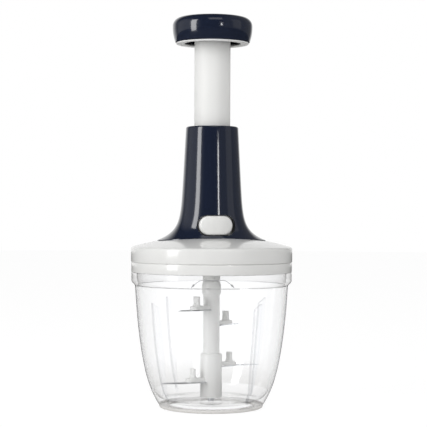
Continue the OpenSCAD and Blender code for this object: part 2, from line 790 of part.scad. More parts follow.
// The knob is a hollow cap with a socket for the tube and a boss for its screw.
module knob_cap() {
    shoulder = 6.5;
    flat_r = knob_r - shoulder;
    crown_R = 160;
    function crown(r) = knob_top - crown_R + sqrt(crown_R * crown_R - r * r);
    crown_a = 90 - asin(flat_r / crown_R);
    side_h = 11.4;
    side = [for (k = [0:6]) let (t = k / 6)
        [knob_r - (knob_r - knob_rim_r) * pow(1 - t, 2), knob_z + 0.6 + t * side_h]];
    inset = knob_wall;
    color([0.07, 0.09, 0.16]) {
        difference() {
            rotate_extrude() polygon(concat(
                [[0, knob_z], [knob_rim_r - 0.6, knob_z]],
                side,
                arc([flat_r, crown(flat_r) - shoulder], shoulder, 0, crown_a, 8),
                [for (k = [1:8]) let (r = flat_r * (1 - k / 8)) [r, crown(r)]]));
            rotate_extrude() polygon([[tube_r + 2.4, knob_z - 1], [knob_rim_r - inset, knob_z - 1],
                [knob_rim_r - inset, knob_z + 2], [knob_r - inset - 0.8, knob_z + 9],
                [knob_r - inset - 5, knob_top - inset - 4.5],
                [tube_r + 4, knob_top - inset - 2.6], [tube_r + 2.4, knob_top - inset - 5]]);
            disc(tube_r, knob_z - 1, tube_top);
            disc(2, tube_top - 1, knob_top - 3);
            disc(tube_r + 3, knob_z - 1, knob_z + 5);
        }
    }
}

// The pale ring closes the knob's rim from below and stands a little proud of it.
module knob_ring() {
    color([0.94, 0.94, 0.92]) {
        rotate_extrude() polygon([[knob_ring_in, knob_z - 0.8], [knob_rim_r - 1, knob_z - 0.8],
            [knob_rim_r - 0.6, knob_z - 0.02], [knob_rim_r - knob_wall, knob_z - 0.02],
            [knob_rim_r - knob_wall, knob_z + 1.6], [knob_ring_in, knob_z + 1.6]]);
    }
}

module knob_screw() {
    color([0.75, 0.76, 0.78]) translate([0, 0, tube_top - 2.4]) screw(2, knob_top - tube_top - 1);
}

// The return spring stands between the cap on the bar and the closed end of the tube.
module return_spring() {
    z0 = spring_z + wire_r;
    z1 = tube_top - 2.4 - wire_r;
    sides = 6;
    per_turn = 16;
    n = per_turn * spring_turns;
    color([0.7, 0.72, 0.75]) polyhedron(
        points = [for (i = [0:n], k = [0:sides - 1])
            let (a = 360 * i / per_turn, b = 360 * k / sides, r = spring_r + wire_r * cos(b))
            [r * cos(a), r * sin(a), z0 + (z1 - z0) * i / n + wire_r * sin(b)]],
        faces = concat(
            [[for (k = [0:sides - 1]) k]],
            [for (i = [0:n - 1], k = [0:sides - 1]) let (m = (k + 1) % sides)
                [i * sides + k, (i + 1) * sides + k, (i + 1) * sides + m, i * sides + m]],
            [[for (k = [sides - 1:-1:0]) n * sides + k]]));
}

// ---------------------------------------------------------------- drive

// A ring of saw teeth of height h. Their steep sides face one way, and up says which.
module saw_teeth(up) {
    r_in = clutch_r * 0.6;
    w = 2 * r_in * tan(180 / tooth_n) * 0.94;
    intersection() {
        ring(clutch_r, r_in, -tooth_h - 1, tooth_h + 1);
        for (k = [0:tooth_n - 1]) rotate(360 * k / tooth_n) rotate([90, 0, 90])
            linear_extrude(clutch_r + 1)
                polygon(up ? [[0, -0.5], [w, -0.5], [w, 0], [0, tooth_h]]
                    : [[0, 0.5], [0, 0], [w, -tooth_h], [w, 0.5]]);
    }
}

// The upper half of the clutch, with the journal that turns in the lid's bush.
module clutch_wheel() {
    color([0.85, 0.86, 0.84]) difference() {
        union() {
            disc(clutch_r, wheel_z, wheel_top);
            translate([0, 0, wheel_z]) saw_teeth(false);
            disc(journal_r, wheel_top, journal_top);
        }
        translate([-bar_w / 2, -bar_t / 2, wheel_top]) cube([bar_w, bar_t, 30]);
    }
}

module drive_bar() {
    twisted = bar_top - twist_z;
    color([0.78, 0.79, 0.81]) {
        translate([-bar_w / 2, -bar_t / 2, wheel_top])
            cube([bar_w, bar_t, twist_z - wheel_top]);
        translate([0, 0, twist_z]) linear_extrude(twisted, twist = -bar_angle(bar_top),
            slices = ceil(bar_angle(bar_top) / 6), $fn = 4) square([bar_w, bar_t], center = true);
        translate([0, 0, bar_top]) rotate(bar_angle(bar_top))
            translate([-bar_w / 2, -bar_t / 2, 0]) cube([bar_w, bar_t, tang]);
    }
}

module spring_cap() {
    color([0.85, 0.86, 0.84]) difference() {
        union() {
            disc(tube_in - 0.6, bar_top, spring_z);
            disc(spring_r - wire_r - 0.4, spring_z, spring_z + 3);
        }
        rotate(bar_angle(bar_top)) translate([-bar_w / 2, -bar_t / 2, bar_top - 1])
            cube([bar_w, bar_t, tang + 1]);
    }
}

// The lower half of the clutch. Its tube ends in the socket for the blade shaft's head.
module drive_cup() {
    color([0.9, 0.9, 0.88]) difference() {
        union() {
            disc(cup_r, cup_z, cup_top);
            disc(clutch_r, cup_flange, cup_top);
            translate([0, 0, cup_top]) saw_teeth(true);
        }
        difference() {
            disc(cup_in, cup_z - 1, cup_roof);
            for (k = [0:dog_n - 1]) rotate(360 * (k + 0.5) / dog_n)
                translate([head_core + head_play, -dog_t / 2, cup_z + 1.5])
                    cube([cup_r, dog_t, cup_roof - cup_z]);
        }
    }
}

bowl();
foot_ring();
pivot_pin();
lid_seal();
lid_cover();
lid_base();
base_screws();
shaft_seal();
thrust_washer();
spindle_bush();
housing();
housing_screws();
guide_bush();
lock_slider();
lock_tongue();
plunger_tube();
drive_nut();
nut_pins();
knob_cap();
knob_ring();
knob_screw();
return_spring();
clutch_wheel();
drive_bar();
spring_cap();
drive_cup();
blade_shaft();
lower_hub();
hub_bush();
color([0.8, 0.81, 0.83]) blade(0);  // blade_1
color([0.8, 0.81, 0.83]) blade(1);  // blade_2
color([0.8, 0.81, 0.83]) blade(2);  // blade_3
color([0.8, 0.81, 0.83]) blade(3);  // blade_4
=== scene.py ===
# Plunger food chopper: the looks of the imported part. Sizes are in millimetres until they become
# a mesh, +Z is up, the origin is on the table and the lock button faces -Y.
import math

import bmesh
import bpy
from mathutils import Matrix, Vector


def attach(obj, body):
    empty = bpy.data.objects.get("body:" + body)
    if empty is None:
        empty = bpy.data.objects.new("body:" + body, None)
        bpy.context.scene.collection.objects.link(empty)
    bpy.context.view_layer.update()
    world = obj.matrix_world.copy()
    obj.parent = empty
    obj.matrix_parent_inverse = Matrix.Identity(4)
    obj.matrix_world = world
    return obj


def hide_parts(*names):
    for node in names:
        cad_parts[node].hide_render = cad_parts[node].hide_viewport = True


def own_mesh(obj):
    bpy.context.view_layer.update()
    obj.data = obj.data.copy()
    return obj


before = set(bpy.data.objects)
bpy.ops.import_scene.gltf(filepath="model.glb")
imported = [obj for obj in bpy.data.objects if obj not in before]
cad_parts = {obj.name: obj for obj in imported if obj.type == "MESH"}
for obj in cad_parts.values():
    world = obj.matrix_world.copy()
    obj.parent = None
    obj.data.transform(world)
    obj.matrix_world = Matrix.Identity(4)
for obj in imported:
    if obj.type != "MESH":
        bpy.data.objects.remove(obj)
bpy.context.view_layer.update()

# ---------------------------------------------------------------- bowl
# The bowl is one moulding in clear polished plastic. Its wall runs in one curve from the foot to
# a band on which the lid's collar ends. Four ribs inside throw the food back, and four tabs hold
# the lid.
bowl_h = 112.0
rim_r = 62.2
rim_top_r = 60.3
rim_step_z = 104.5
rim_in = 58.1
band_z = 98.5
band_step = 2.8
ledge_z = 100.7
bowl_wall = 2.2
floor_h = 6.6
under_floor = 4.0
boss_r = 8.5
under_boss = 2.2
boss_top_r = 6.0
boss_top = 7.2
foot_r = 40.9
ring_h = 2.6
wall_bends = [(foot_r, ring_h), (46.0, 11.98), (55.0, 23.0), (59.4, 94.5)]
corner_r = 9.0
rib_t = 2.4
rib_top = 83.0
rib_shoulder = 78.5
rib_depth = 8.6
rib_sink = 1.1
rib_foot = [(43.2, 13.0), (42.2, 6.1)]
rib_edge_r = 0.8
rib_turn = -58
tab_z = 107.4
tab_h = 2.4
tab_turn = 16
tab_width = 14
stop_z = 104.8
stop_turn = 24
stop_width = 1.6
skirt_r = 55.9


def bent(stops, steps):
    """Points along the curve that four stops pull."""
    a, b, c, d = (Vector(stop) for stop in stops)
    line = []
    for k in range(steps + 1):
        t = k / steps
        line.append((1 - t) ** 3 * a + 3 * (1 - t) ** 2 * t * b + 3 * (1 - t) * t * t * c + t ** 3 * d)
    return line


def arc(centre, radius, start, end, steps):
    """Points on a circle, from one angle to another in degrees."""
    angles = [math.radians(start + (end - start) * k / steps) for k in range(steps + 1)]
    return [Vector((centre[0] + radius * math.cos(a), centre[1] + radius * math.sin(a))) for a in angles]


def softened(outline, radius, steps=3):
    """The outline with its sharp corners rounded a little, as a mould leaves them."""
    soft = []
    for i, here in enumerate(outline):
        here = Vector(here)
        back = Vector(outline[i - 1]) - here
        on = Vector(outline[(i + 1) % len(outline)]) - here
        turn = math.pi - back.angle(on)
        if turn < 0.35 or here.x < 0.001:
            soft.append(here)
            continue
        reach = min(radius * math.tan(turn / 2), 0.45 * back.length, 0.45 * on.length)
        first = here + back.normalized() * reach
        last = here + on.normalized() * reach
        for k in range(steps + 1):
            t = k / steps
            soft.append(first.lerp(here, t).lerp(here.lerp(last, t), t))
    return soft


def turned(outline, steps=160):
    """A solid turned round the plunger's axis from an outline of (radius, height)."""
    bm = bmesh.new()
    ring = [bm.verts.new((r / 1000, 0, z / 1000)) for r, z in outline]
    open_ends = outline[0][0] < 0.001 and outline[-1][0] < 0.001
    edges = [bm.edges.new((ring[i - 1], ring[i])) for i in range(1 if open_ends else 0, len(ring))]
    bmesh.ops.spin(bm, geom=ring + edges, cent=(0, 0, 0), axis=(0, 0, 1), dvec=(0, 0, 0),
                   angle=2 * math.pi, steps=steps, use_merge=True)
    bmesh.ops.remove_doubles(bm, verts=bm.verts, dist=1e-7)
    bmesh.ops.dissolve_degenerate(bm, edges=bm.edges, dist=1e-7)
    bmesh.ops.recalc_face_normals(bm, faces=bm.faces)
    return bm


def thickened(outline, way):
    """A plate from a flat outline of (x, y, z), pushed along a way."""
    bm = bmesh.new()
    face = bm.faces.new([bm.verts.new((x / 1000, y / 1000, z / 1000)) for x, y, z in outline])
    grown = bmesh.ops.extrude_face_region(bm, geom=[face])
    moved = [v for v in grown["geom"] if isinstance(v, bmesh.types.BMVert)]
    bmesh.ops.translate(bm, verts=moved, vec=[step / 1000 for step in way])
    bmesh.ops.recalc_face_normals(bm, faces=bm.faces)
    return bm


def sector(r_out, r_in, z0, z1, middle, width, steps=10):
    """A piece of a ring, width degrees wide."""
    start, end = middle - width / 2, middle + width / 2
    outline = arc((0, 0), r_out, start, end, steps) + arc((0, 0), r_in, end, start, steps)
    return thickened([(p.x, p.y, z0) for p in outline], (0, 0, z1 - z0))


def turn(bm, degrees):
    """Turns a bmesh round the plunger's axis."""
    about = Matrix.Rotation(math.radians(degrees), 3, "Z")
    bmesh.ops.rotate(bm, verts=bm.verts, cent=(0, 0, 0), matrix=about)
    return bm


def rounded_edges(bm, pick, radius, steps):
    """Bevels the edges that pick chooses by their two ends, in millimetres."""
    edges = [e for e in bm.edges if pick(e.verts[0].co * 1000, e.verts[1].co * 1000)]
    bmesh.ops.bevel(bm, geom=edges, offset=radius / 1000, segments=steps, profile=0.5,
                    affect="EDGES", material=-1)


def joined(solid, others, operation="UNION"):
    """One bmesh from solids that are moulded in one, or cut by one another."""
    things = []
    for bm in [solid, *others]:
        mesh = bpy.data.meshes.new("blank")
        bm.to_mesh(mesh)
        bm.free()
        things.append(bpy.data.objects.new("blank", mesh))
        bpy.context.scene.collection.objects.link(things[-1])
    for other in things[1:]:
        step = things[0].modifiers.new("step", "BOOLEAN")
        step.operation = operation
        step.solver = "EXACT"
        step.object = other
    result = bmesh.new()
    result.from_object(things[0], bpy.context.evaluated_depsgraph_get())
    for thing in things:
        mesh = thing.data
        bpy.data.objects.remove(thing)
        bpy.data.meshes.remove(mesh)
    bmesh.ops.remove_doubles(result, verts=result.verts, dist=1e-7)
    return result


def piece(bm, name, body, stands_for=(), sharp=32):
    """The finished bmesh as a piece that rides on a body and stands for its CAD nodes."""
    mesh = bpy.data.meshes.new(name)
    bm.to_mesh(mesh)
    bm.free()
    mesh.shade_smooth()
    mesh.set_sharp_from_angle(angle=math.radians(sharp))
    thing = bpy.data.objects.new(name, mesh)
    bpy.context.scene.collection.objects.link(thing)
    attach(thing, body)
    if stands_for:
        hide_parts(*stands_for)
    return thing


class Wire:
    """One output of a shader node. Sums and products of wires add Math nodes."""

    def __init__(self, tree, socket=None):
        self.tree = tree
        self.socket = socket

    def node(self, kind, settings, inputs, out=0):
        made = self.tree.nodes.new("ShaderNode" + kind)
        for key, value in settings.items():
            if key == "stops":
                for stop, (place, colour) in zip(made.color_ramp.elements, value):
                    stop.position = place
                    stop.color = colour
            else:
                setattr(made, key, value)
        for key, value in inputs.items():
            if isinstance(value, Wire):
                self.tree.links.new(value.socket, made.inputs[key])
            else:
                made.inputs[key].default_value = value
        return Wire(self.tree, made.outputs[out])

    def sum(self, operation, *terms):
        return self.node("Math", {"operation": operation}, dict(enumerate(terms)))

    def __add__(self, other):
        return self.sum("ADD", self, other)

    def __mul__(self, other):
        return self.sum("MULTIPLY", self, other)

    def __rsub__(self, other):
        return self.sum("SUBTRACT", other, self)

    __radd__ = __add__
    __rmul__ = __mul__


def ramp(wire, start, end, low, high, kind="LINEAR"):
    """Goes from low to high while a wire goes from start to end."""
    return wire.node("MapRange", {"interpolation_type": kind}, {0: wire, 1: start, 2: end, 3: low, 4: high})


def between(wire, one, other):
    """A colour between two, by a wire that goes from 0 to 1."""
    return wire.node("Mix", {"data_type": "RGBA"}, {0: wire, 6: (*one, 1), 7: (*other, 1)}, out=2)


def blended(share, one, other):
    """Two shaders mixed, with a share of the other."""
    return share.node("MixShader", {}, {0: share, 1: one, 2: other})


def rays(wire, *kinds):
    """1 for rays of these kinds. Ray Length gives a ray's length in metres."""
    path = wire.node("LightPath", {}, {}).socket.node
    found = [Wire(wire.tree, path.outputs[kind]) for kind in kinds]
    return wire.sum("MAXIMUM", *found) if len(found) > 1 else found[0]


def feed(wire, socket):
    """Links a wire to a socket."""
    wire.tree.links.new(wire.socket, socket)


def on_piece(wire):
    """The place on a piece, and its height."""
    place = wire.node("TexCoord", {}, {}, out=3)
    return place, wire.node("SeparateXYZ", {}, {0: place}, out=2)


def new_finish(name, colour, roughness, plain=()):
    """A material, its shader's sockets and a wire to build on. Plain values go on the sockets."""
    material = bpy.data.materials.new(name)
    material.use_nodes = True
    sockets = material.node_tree.nodes["Principled BSDF"].inputs
    sockets["Base Color"].default_value = (*colour, 1)
    sockets["Roughness"].default_value = roughness
    for key, value in dict(plain).items():
        sockets[key].default_value = value
    return material, sockets, Wire(material.node_tree)


wall_line = bent(wall_bends, 40)


def wall_at(z):
    """Outer radius of the bowl's wall at a height."""
    for low, high in zip(wall_line, wall_line[1:]):
        if z <= high.y:
            return low.x + (high.x - low.x) * max(z - low.y, 0) / (high.y - low.y)
    return wall_line[-1].x


inner_low = floor_h + corner_r * (1 - math.sin(math.radians(24)))
corner_x = wall_at(inner_low) - bowl_wall - corner_r * math.cos(math.radians(24))
inner_wall = [p - Vector((bowl_wall, 0)) for p in wall_line[-2:0:-1] if p.y > inner_low + 1]
bowl_outline = [(0, under_boss), (boss_r, under_boss), (boss_r + 1, under_floor)]
bowl_outline += [(foot_r - 9.2, under_floor), (foot_r - 8, ring_h)]
bowl_outline += wall_line + arc((rim_r - band_step, band_z), band_step, -58, 0, 8)
bowl_outline += [(rim_r, rim_step_z - 0.4), (rim_r - 0.4, rim_step_z), (rim_top_r, rim_step_z)]
bowl_outline += [(rim_top_r, bowl_h - 0.6), (rim_top_r - 0.6, bowl_h), (rim_in + 0.4, bowl_h)]
bowl_outline += [(rim_in, bowl_h - 0.4), (rim_in, ledge_z), (57.2, 95.5)]
bowl_outline += inner_wall + arc((corner_x, floor_h + corner_r), corner_r, -24, -90, 10)
bowl_outline += [(boss_top_r + 0.5, floor_h), (boss_top_r, boss_top), (0, boss_top)]
bowl_shell = turned(softened(bowl_outline, 0.5))



def along_rib(a, b):
    """Picks the long edges on a rib's face to the middle."""
    return abs(a.y - b.y) < 0.001 and all(p.x < wall_at(p.z) - 2 for p in (a, b))


rib_outline = [(wall_at(rib_top) - rib_sink, rib_top), (wall_at(rib_shoulder) - rib_depth, rib_shoulder)]
rib_outline += rib_foot + [(wall_at(z) - rib_sink, z) for z in range(6, 83, 4)]
ribs = []
for k in range(4):
    rib = thickened([(x, -rib_t / 2, z) for x, z in rib_outline], (0, rib_t, 0))
    rounded_edges(rib, along_rib, rib_edge_r, 4)
    ribs.append(turn(rib, rib_turn + 90 * k))
tabs = []
for k in range(4):
    inner, outer, top = skirt_r + 0.4, rim_in + 0.4, tab_z + tab_h
    tabs.append(sector(outer, inner, tab_z, top, tab_turn + 90 * k, tab_width))
    tabs.append(sector(outer, inner, stop_z, top, stop_turn + 90 * k, stop_width, 2))
bowl = piece(joined(bowl_shell, tabs), "bowl_clear", "bowl", ["bowl"])
rib_piece = piece(joined(ribs[0], ribs[1:]), "bowl_ribs", "bowl")

clear_tone = (0.99, 0.992, 0.995)
# Tone of the painted shade in the bowl wall, low down and at a slant.
painted_shade_tone = (0.855, 0.853, 0.85)
# Tone of the painted shade on the clear skin at a slant.
slant_shade_tone = (0.9, 0.895, 0.89)
skin_tone = (0.995, 0.996, 0.998)
rib_tone = (0.985, 0.987, 0.99)
# Tone of the painted shade on the ribs' inward faces.
rib_line_shade_tone = (0.83, 0.83, 0.84)
foot_end = 0.0135
band_start = 0.095
border = 0.0005


def skin(wire, tone, slant):
    """Clear plastic as a thin skin: it lets light straight through, lets less through at a slant as painted
    shade, and shines at a slant.
    """
    clear = wire.node("BsdfTransparent", {}, {"Color": (*tone, 1)})
    slant_shade = wire.node("BsdfTransparent", {}, {"Color": (*slant_shade_tone, 1)})
    gloss = wire.node("BsdfAnisotropic", {}, {"Color": (1, 1, 1, 1), "Roughness": 0.03})
    through = blended(wire.sum("POWER", slant, 3.0), clear, slant_shade)
    return clear, blended(0.02 + 0.6 * wire.sum("POWER", slant, 5.0), through, gloss)


def rib_finish(name, tone):
    """A finish for the ribs, which show in the clear wall as fine lines alone."""
    material, sockets, wire = new_finish(name, clear_tone, 0.015)
    clear, thin = skin(wire, tone, wire.node("LayerWeight", {}, {"Blend": 0.5}, out=1))
    feed(thin, wire.tree.nodes["Material Output"].inputs[0])
    return material


# The wall bends light. The foot and the band under the lid's collar let it straight through, and
# it leaves the plastic in the same way as it came in. Lamps shine through all of it.
clear_plastic, sockets, wire = new_finish("clear_plastic", clear_tone, 0.015,
                                          {"IOR": 1.49, "Transmission Weight": 1.0})
place, height = on_piece(wire)
slant = wire.node("LayerWeight", {}, {"Blend": 0.5}, out=1)
# The wall's colour goes darker towards the bottom and where it is seen at a slant: painted shade.
shade_low_down = ramp(height, 0.012, 0.045, 1.0, 0.0, "SMOOTHSTEP")
shade_at_slant = ramp(slant, 0.15, 0.6, 0.0, 0.5, "SMOOTHSTEP")
feed(between(wire.sum("MAXIMUM", shade_low_down, shade_at_slant), clear_tone, painted_shade_tone), sockets["Base Color"])
in_foot = ramp(height, foot_end - border, foot_end + border, 1.0, 0.0)
in_band = ramp(height, band_start - border, band_start + border, 0.0, 1.0)
came_straight = wire.sum("GREATER_THAN", rays(wire, "Ray Length"), 0.02)
leaving = wire.node("NewGeometry", {}, {}, out=6)
straight = wire.node("Mix", {"data_type": "FLOAT"}, {0: leaving, 2: in_foot + in_band, 3: came_straight})
clear, thin = skin(wire, skin_tone, slant)
glass = Wire(wire.tree, wire.tree.nodes["Principled BSDF"].outputs[0])
seen = blended(straight, glass, thin)
lamps = rays(wire, "Is Shadow Ray", "Is Diffuse Ray")
feed(blended(lamps, seen, clear), wire.tree.nodes["Material Output"].inputs[0])
bowl.data.materials.append(clear_plastic)
rib_piece.data.materials.append(rib_finish("clear_ribs", rib_tone))
# The ribs' faces turned inward get a darker tone: painted shade for the fine lines that bent light draws
# along them.
rib_piece.data.materials.append(rib_finish("clear_rib_shade_lines", rib_line_shade_tone))
for face in rib_piece.data.polygons:
    outwards = Vector((face.center.x, face.center.y, 0)).normalized()
    faces_in = face.normal.dot(outwards) < -0.35 and face.center.z > 0.0085
    face.material_index = 1 if faces_in else 0

# ---------------------------------------------------------------- turn mark
# A thin curved arrow with a head at each end stands a little proud of the bowl's front, just
# below the band. It shows that the lid turns, and holds no letters.
mark_middle = -97.1
mark_reach = 16.4
mark_top = 101.3
mark_low = 95.4
mark_w = 0.45
head_w = 1.9
head_l = 3.2
mark_proud = 0.14
mark_sink = 0.1
mark_steps = 80
outer_line = wall_line + arc((rim_r - band_step, band_z), band_step, -58, 0, 8) + [Vector((rim_r, bowl_h))]


def mark_point(s, side, proud):
    """A point of the mark: s runs from -1 to 1 along it, side across it and proud outwards."""
    fall = max(abs(s) - 0.5, 0) / 0.5
    z = mark_top - (mark_top - mark_low) * fall ** 1.4 + side * (1 - 0.3 * fall)
    low, high = [(a, b) for a, b in zip(outer_line, outer_line[1:]) if a.y <= z <= b.y][0]
    r = low.x + (high.x - low.x) * (z - low.y) / (high.y - low.y) + proud
    a = math.radians(mark_middle) + (mark_reach * s + side * math.copysign(0.75 * fall, s)) / r
    return Vector((r * math.cos(a), r * math.sin(a), z)) / 1000


def skinned(loops, capped=True):
    """A skin drawn over closed loops of points, one after the other."""
    bm = bmesh.new()
    rings = [[bm.verts.new(point) for point in loop] for loop in loops]
    for back, front in zip(rings, rings[1:]):
        for i in range(len(back)):
            bm.faces.new((back[i - 1], back[i], front[i], front[i - 1]))
    if capped:
        bm.faces.new(rings[0])
        bm.faces.new(reversed(rings[-1]))
    bmesh.ops.recalc_face_normals(bm, faces=bm.faces)
    return bm


mark_loops = []
for k in range(mark_steps + 1):
    s = -1 + 2 * k / mark_steps
    left = mark_reach * (1 - abs(s)) * 1.15
    half = (mark_w if left > head_l else max(head_w * left / head_l, 0.06)) / 2
    corners = ((-half, -mark_sink), (-half, mark_proud), (half, mark_proud), (half, -mark_sink))
    mark_loops.append([mark_point(s, side, proud) for side, proud in corners])
turn_mark = piece(skinned(mark_loops), "turn_mark", "bowl")
mark_grey, sockets, wire = new_finish("mark_grey", (0.42, 0.42, 0.43), 0.5)
place, height = on_piece(wire)
worn = wire.node("TexNoise", {}, {"Vector": place, "Scale": 400, "Detail": 2})
feed(between(worn, (0.38, 0.38, 0.39), (0.48, 0.48, 0.49)), sockets["Base Color"])
turn_mark.data.materials.append(mark_grey)

# ---------------------------------------------------------------- foot ring
# The soft ring is pressed into a groove under the bowl and keeps it from sliding. It is a dull
# warm-grey plastic that lets a little light through.
ring_in_r = 33.1
ring_lip = 1.3
ring_outline = [(ring_in_r, ring_h), (ring_in_r, 0.6), (ring_in_r + 0.6, 0)]
ring_outline += arc((39.0, ring_lip), ring_lip, -90, 0, 8) + [(40.5, ring_h)]
foot_ring = piece(turned(softened(ring_outline, 0.3)), "foot_ring_soft", "bowl", ["foot_ring"])
soft_foot, sockets, wire = new_finish("soft_foot", (0.76, 0.735, 0.705), 0.5)
place, height = on_piece(wire)
mottle = wire.node("TexNoise", {}, {"Vector": place, "Scale": 60, "Detail": 3})
feed(between(mottle, (0.73, 0.705, 0.675), (0.79, 0.765, 0.735)), sockets["Base Color"])
feed(0.42 + 0.12 * mottle, sockets["Roughness"])
feed(ramp(height, 0.0012, 0.0024, 0.58, 0.22), sockets["Alpha"])
foot_ring.data.materials.append(soft_foot)


# ---------------------------------------------------------------- pivot pin and hub bush
# A plain steel pin stands in the bowl's boss, and the blades turn on it in a slippery bush.
def shades(colour, darker, lighter):
    """Two tones of a colour."""
    return [tuple(min(c * share, 1) for c in colour) for share in (darker, lighter)]


def brushed(name, colour, roughness, stretch, metallic=1.0):
    """Steel with fine lines along one direction."""
    material, sockets, wire = new_finish(name, colour, roughness, {"Metallic": metallic})
    place, height = on_piece(wire)
    lines = wire.node("Mapping", {}, {"Vector": place, "Scale": stretch})
    streaks = wire.node("TexNoise", {}, {"Vector": lines, "Scale": 300, "Detail": 4})
    feed(roughness - 0.08 + 0.16 * streaks, sockets["Roughness"])
    feed(between(streaks, *shades(colour, 0.9, 1.08)), sockets["Base Color"])
    bump = wire.node("Bump", {}, {"Height": streaks, "Strength": 0.15, "Distance": 0.00005})
    feed(bump, sockets["Normal"])
    return material


def moulded(name, colour, roughness, plain=(), grain=0.03):
    """Moulded plastic: an even colour with a faint cloud in it, and a skin that isn't quite flat."""
    material, sockets, wire = new_finish(name, colour, roughness, plain)
    place, height = on_piece(wire)
    cloud = wire.node("TexNoise", {}, {"Vector": place, "Scale": 14, "Detail": 3})
    orange = wire.node("TexNoise", {}, {"Vector": place, "Scale": 900, "Detail": 2})
    feed(between(cloud, *shades(colour, 0.97, 1.03)), sockets["Base Color"])
    feed(roughness * 0.85 + roughness * 0.3 * cloud, sockets["Roughness"])
    bump = wire.node("Bump", {}, {"Height": orange, "Strength": grain, "Distance": 0.0001})
    feed(bump, sockets["Normal"])
    return material


def dress(material, *names):
    """Gives CAD nodes that keep their own mesh a finish."""
    for name in names:
        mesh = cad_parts[name].data
        mesh.materials.clear()
        mesh.materials.append(material)


plain_steel = brushed("plain_steel", (0.6, 0.61, 0.63), 0.3, (1, 1, 0.1))
inner_plastic = moulded("inner_plastic", (0.8, 0.8, 0.78), 0.45)
pin_steel = brushed("pin_steel", (0.7, 0.71, 0.73), 0.4, (1, 1, 0.1), 0.3)
dress(pin_steel, "pivot_pin")
dress(inner_plastic, "hub_bush")

# ---------------------------------------------------------------- lower hub, shaft and blades
# Two mouldings in white plastic: a thick lower hub, and a thinner shaft pressed into it. Each has
# two arms over a blade, with a peg that lifts the food.
blade_z = [19.8, 31.0, 62.8, 75.5]
blade_turns = [203, 23, 39, 219]
blade_t = 0.8
arm_t = 2.6
arm_d = 22.5
arm_w = 7.0
peg_d = 16.5
peg_t = 3.2
peg_w = 6.0
peg_top = 11.0
hub_r = 8.4
hub_low = 7.4
hub_top = 41.8
pin_bore_r = 4.5
pin_bore_top = 23.0
shaft_r = 6.45
shaft_low = 26.0
ring_r = 7.4
ring_low = 88.8
ring_top = 94.8
neck_z = 97.8
head_r = 3.2
head_top = 110.8
wing_r = 5.3
wing_t = 1.6


def block(low, high):
    """A cuboid between two corners."""
    bm = bmesh.new()
    bmesh.ops.create_cube(bm, size=1)
    low, high = Vector(low) / 1000, Vector(high) / 1000
    bmesh.ops.scale(bm, verts=bm.verts, vec=high - low)
    bmesh.ops.translate(bm, verts=bm.verts, vec=(low + high) / 2)
    return bm


def upright(a, b):
    """Picks upright edges."""
    return abs(a.z - b.z) > 1


def blade_arm(i, from_r):
    """One arm with its peg over blade i."""
    low = blade_z[i] + blade_t
    arm = block((from_r - 3, -arm_w / 2, low), (arm_d, arm_w / 2, low + arm_t))
    rounded_edges(arm, lambda a, b: upright(a, b) and a.x > 20 and b.x > 20, arm_w / 2 - 0.01, 8)
    rounded_edges(arm, lambda a, b: abs(a.z - b.z) < 0.01 and a.z > low + 1, 0.5, 2)
    top = blade_z[i] + peg_top
    peg = block((peg_d - peg_t / 2, -peg_w / 2, low + 1), (peg_d + peg_t / 2, peg_w / 2, top))
    rounded_edges(peg, upright, 1.55, 5)
    rounded_edges(peg, lambda a, b: a.z > low + 5 and b.z > low + 5, 0.5, 2)
    root = bmesh.new()
    bmesh.ops.create_cone(root, cap_ends=True, segments=32, radius1=0.0036, radius2=0.0019, depth=0.0028)
    bmesh.ops.translate(root, verts=root.verts, vec=(peg_d / 1000, 0, (low + arm_t + 1.2) / 1000))
    return [turn(bm, blade_turns[i]) for bm in (arm, peg, root)]


hub_outline = [(0, shaft_low), (0, pin_bore_top), (pin_bore_r, pin_bore_top), (pin_bore_r, hub_low)]
hub_outline += [(hub_r, hub_low), (hub_r, hub_top - 0.8), (hub_r - 0.8, hub_top)]
hub_outline += [(shaft_r, hub_top), (shaft_r, shaft_low)]
hub_arms = blade_arm(0, hub_r) + blade_arm(1, hub_r)
hub_solid = joined(turned(softened(hub_outline, 0.4), 96), hub_arms)
hub = piece(hub_solid, "lower_hub_body", "blades", ["lower_hub"])

shaft_outline = [(0, shaft_low), (shaft_r, shaft_low), (shaft_r, ring_low - 2), (ring_r, ring_low)]
shaft_outline += [(ring_r, ring_top), (shaft_r, neck_z), (head_r, neck_z)]
shaft_outline += [(head_r, head_top), (0, head_top)]
shaft_extras = blade_arm(2, shaft_r) + blade_arm(3, shaft_r)
for k in range(4):
    wing = block((0, -wing_t / 2, neck_z - 0.6), (wing_r, wing_t / 2, head_top - 1))
    shaft_extras.append(turn(wing, 90 * k))
shaft_solid = joined(turned(softened(shaft_outline, 0.5), 96), shaft_extras)
shaft = piece(shaft_solid, "blade_shaft_body", "blades", ["blade_shaft"])
shaft_plastic = moulded("shaft_plastic", (0.9, 0.9, 0.885), 0.32)
for part in (hub, shaft):
    part.data.materials.append(shaft_plastic)

blade_steel = brushed("blade_steel", (0.62, 0.63, 0.65), 0.22, (0.15, 1, 1))
dress(blade_steel, "blade_1", "blade_2", "blade_3", "blade_4")

# ---------------------------------------------------------------- drive inside the lid
# The saw-tooth clutch, the twisted bar and their bearings are hidden in the lid and the housing.
# The drive cup alone reaches down out of the lid to the blade shaft.
cup_plastic = moulded("cup_plastic", (0.8, 0.8, 0.78), 0.35)
dark_plastic = moulded("dark_plastic", (0.06, 0.065, 0.075), 0.4)
soft_glow = {"Subsurface Weight": 0.3, "Subsurface Radius": (0.002, 0.002, 0.002)}
seal_rubber = moulded("seal_rubber", (0.8, 0.8, 0.79), 0.5, soft_glow)
dress(cup_plastic, "drive_cup")
dress(inner_plastic, "clutch_wheel", "spring_cap", "spindle_bush", "guide_bush")
dress(dark_plastic, "drive_nut")
dress(seal_rubber, "lid_seal", "shaft_seal")
dress(plain_steel, "drive_bar", "thrust_washer", "nut_pins", "lock_tongue")
dress(plain_steel, "base_screws", "housing_screws", "knob_screw")
